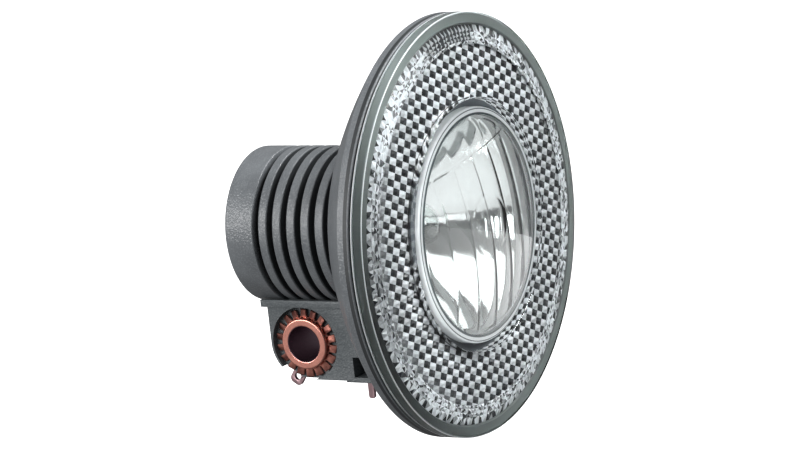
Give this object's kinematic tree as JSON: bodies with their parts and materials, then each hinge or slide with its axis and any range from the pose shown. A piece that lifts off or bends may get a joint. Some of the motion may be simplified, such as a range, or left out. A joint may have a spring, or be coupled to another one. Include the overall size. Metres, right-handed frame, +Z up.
{
  "type": "bicycle headlight",
  "caption": "Dynamo bicycle headlight with a grooved barrel, a flared bell, a fluted lens and a wide retro-reflecting ring, on a foot with a copper bracket bush.",
  "frame": {"origin": "centre of the bracket bore, at the middle of the foot's width", "axes": "+X along the bracket bore, light leaves along -Y, +Z up"},
  "size_m": [0.08, 0.0512, 0.08],
  "materials": {
    "moulded_grey": "fine moulded grain",
    "foot_grey": "fine moulded grain",
    "black_plastic": "satin moulded",
    "black_rubber": "matte",
    "plated_steel": "zinc plated",
    "copper_bush": "copper, satin",
    "copper_washer": "copper, stamped",
    "copper_blade": "copper, tinned dull",
    "copper_leaf": "copper, rolled",
    "clear_ring": "clear, polished, prisms behind",
    "clear_lens": "clear, polished, fluted behind",
    "metallised_bowl": "vacuum metallised",
    "bulb_glass": "clear glass",
    "nickel_cap": "nickel plated",
    "black_bead": "vitreous",
    "tungsten": "drawn wire"
  },
  "bodies": {
    "lamp_body": {"housing": "moulded_grey", "mounting_foot": "foot_grey", "foot_screws": "plated_steel", "bracket_bush": "copper_bush", "ground_washer": "copper_washer", "clamp_washer": "copper_washer", "live_terminal": "copper_blade", "ground_strip": "copper_blade", "ground_leaf": "copper_leaf", "contact_carrier": "black_plastic", "centre_contact": "copper_leaf", "rim_seal": "black_rubber", "detent_ball": "plated_steel", "detent_spring": "plated_steel"},
    "front_unit": {"reflector_ring": "clear_ring", "ring_backing": "black_plastic", "lens": "clear_lens", "reflector": "metallised_bowl", "bulb_glass": "bulb_glass", "bulb_base": "nickel_cap", "bulb_insulator": "black_bead", "bulb_contact": "nickel_cap", "bulb_filament": "tungsten", "bulb_retainer": "black_plastic"},
    "rear_switch": {"switch_cap": "moulded_grey", "switch_rotor": "black_plastic", "switch_bridge": "copper_leaf", "rotor_clip": "plated_steel"}
  },
  "joints": [
    {"name": "front_pull", "type": "slide", "parent": "lamp_body", "child": "front_unit", "axis": [0, -1, 0], "range_m": [0, 0.035]},
    {"name": "switch_turn", "type": "hinge", "parent": "lamp_body", "child": "rear_switch", "pos_m": [0, 0, 0.022], "axis": [0, -1, 0], "range_deg": [0, 60]}
  ]
}
